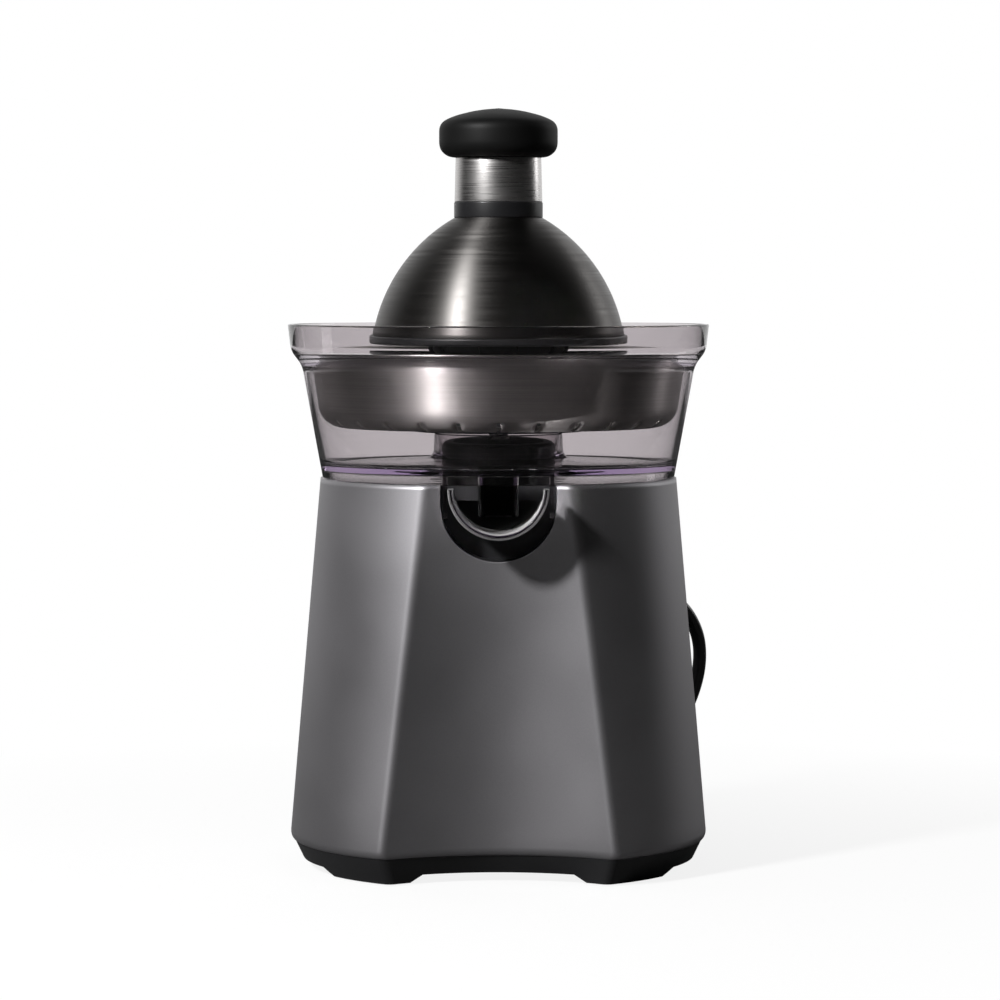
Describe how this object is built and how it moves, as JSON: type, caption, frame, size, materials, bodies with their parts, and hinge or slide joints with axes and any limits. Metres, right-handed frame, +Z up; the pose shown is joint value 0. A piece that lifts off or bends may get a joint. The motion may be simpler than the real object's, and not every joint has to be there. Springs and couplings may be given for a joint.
{
  "type": "citrus press juicer",
  "caption": "Upright motor citrus juicer: grey housing with a tilting front spout, clear juice bowl, steel strainer, ribbed reamer and a lift-off pressing dome with a knob.",
  "frame": {"origin": "on the drive axis, at the undersides of the feet", "axes": "+Z up along the drive axis, -Y to the front (spout and hollow panel), +X to the right seen from the front"},
  "size_m": [0.1944, 0.332, 0.34],
  "materials": {
    "housing_grey": "satin metallic grey lacquer over moulded plastic",
    "base_black": "fine grained black",
    "foot_rubber": "matt",
    "deck_black": "satin black",
    "clear_bowl": "polished clear with a faint violet tint",
    "clear_spout": "polished clear",
    "strainer_steel": "spun and brushed round the axis",
    "hub_black": "satin black",
    "cone_black": "satin black",
    "dome_steel": "polished stainless steel",
    "rim_black": "satin black",
    "liner_black": "satin black",
    "collar_chrome": "polished",
    "knob_black": "matt soft black",
    "plain_steel": "turned bright",
    "seal_rubber": "matt",
    "bronze": "sintered bronze",
    "gear_nylon": "natural white nylon",
    "pinion_brass": "machined",
    "case_plastic": "dark grey moulded",
    "motor_steel": "zinc plated",
    "magnet_grey": "sintered ferrite",
    "copper": "enamelled copper",
    "carbon": "dull black",
    "fan_white": "white moulded",
    "switch_red": "red moulded",
    "board_green": "solder mask",
    "cord_black": "smooth PVC sheath",
    "tie_black": "matt wire tie",
    "plug_black": "moulded PVC",
    "pin_brass": "nickel plated"
  },
  "bodies": {
    "body": {"housing": "housing_grey", "base_tray": "base_black", "foot_pads": "foot_rubber", "top_deck": "deck_black", "base_screws": "plain_steel", "gearbox_case": "case_plastic", "gearbox_cover": "case_plastic", "gearbox_screws": "plain_steel", "upper_bush": "bronze", "lower_bush": "bronze", "shaft_seal": "seal_rubber", "idler_pin": "plain_steel", "motor_can": "motor_steel", "motor_end_cap": "case_plastic", "motor_bearings": "bronze", "field_magnets": "magnet_grey", "carbon_brushes": "carbon", "brush_holders": "bronze", "start_switch": "case_plastic", "switch_bracket": "plain_steel", "circuit_board": "board_green", "board_pillars": "deck_black", "board_components": "carbon", "cord_strain_relief": "cord_black", "cord_lead": "cord_black", "cord_coil": "cord_black", "cord_tail": "cord_black", "cord_tie": "tie_black", "plug_body": "plug_black", "plug_pins": "pin_brass"},
    "rotor": {"rotor_shaft": "plain_steel", "armature_core": "motor_steel", "armature_windings": "copper", "commutator": "copper", "cooling_fan": "fan_white", "motor_pinion": "pinion_brass"},
    "idler": {"idler_gear": "gear_nylon"},
    "output": {"output_gear": "gear_nylon", "return_spring": "plain_steel"},
    "shaft": {"drive_shaft": "plain_steel", "shaft_clips": "plain_steel"},
    "lever": {"switch_lever": "plain_steel"},
    "plunger": {"switch_plunger": "switch_red"},
    "bowl": {"juice_bowl": "clear_bowl"},
    "spout": {"drip_spout": "clear_spout"},
    "strainer": {"strainer_basket": "strainer_steel", "strainer_hub": "hub_black"},
    "bush": {"cone_bush": "hub_black"},
    "cone": {"small_cone": "cone_black", "large_cone": "cone_black"},
    "press": {"dome_shell": "dome_steel", "dome_rim": "rim_black", "dome_liner": "liner_black", "neck_ring": "rim_black", "neck_collar": "collar_chrome", "knob": "knob_black", "knob_bolt": "plain_steel"}
  },
  "joints": [
    {"name": "output_spin", "type": "hinge", "parent": "body", "child": "output", "pos_m": [0, 0, 0.118], "axis": [0, 0, 1], "continuous": true},
    {"name": "idler_spin", "type": "hinge", "parent": "body", "child": "idler", "pos_m": [0.03205, 0.02737, 0.11], "axis": [0, 0, 1], "continuous": true},
    {"name": "rotor_spin", "type": "hinge", "parent": "body", "child": "rotor", "pos_m": [0, 0.0441, 0.06], "axis": [0, 0, 1], "continuous": true},
    {"name": "shaft_press", "type": "slide", "parent": "output", "child": "shaft", "axis": [0, 0, 1], "range_m": [-0.003, 0], "stiffness_N_per_m": 2000, "springref_m": 0.006, "deforming": ["return_spring"]},
    {"name": "lever_swing", "type": "hinge", "parent": "body", "child": "lever", "pos_m": [-0.016, 0, 0.0893], "axis": [0, 1, 0], "range_deg": [0, 10.75]},
    {"name": "plunger_press", "type": "slide", "parent": "body", "child": "plunger", "axis": [0, 0, 1], "range_m": [-0.0015, 0]},
    {"name": "bowl_lift", "type": "slide", "parent": "body", "child": "bowl", "axis": [0, 0, 1], "range_m": [0, 0.1]},
    {"name": "spout_tilt", "type": "hinge", "parent": "bowl", "child": "spout", "pos_m": [0, -0.073, 0.164], "axis": [-1, 0, 0], "range_deg": [0, 20]},
    {"name": "strainer_lift", "type": "slide", "parent": "bowl", "child": "strainer", "axis": [0, 0, 1], "range_m": [0, 0.06]},
    {"name": "cone_press", "type": "slide", "parent": "strainer", "child": "bush", "axis": [0, 0, 1], "range_m": [-0.003, 0]},
    {"name": "cone_spin", "type": "hinge", "parent": "bush", "child": "cone", "pos_m": [0, 0, 0.23], "axis": [0, 0, 1], "continuous": true},
    {"name": "press_lift", "type": "slide", "parent": "bush", "child": "press", "axis": [0, 0, 1], "range_m": [0, 0.07]}
  ],
  "couplings": [
    {"joint": "idler_spin", "follows": "output_spin", "ratio": -6},
    {"joint": "rotor_spin", "follows": "output_spin", "ratio": 30},
    {"joint": "cone_spin", "follows": "output_spin", "ratio": 1},
    {"joint": "lever_swing", "follows": "shaft_press", "rad_per_m": -62.5},
    {"joint": "plunger_press", "follows": "shaft_press", "ratio": 0.5},
    {"joint": "cone_press", "follows": "shaft_press", "ratio": 1}
  ]
}
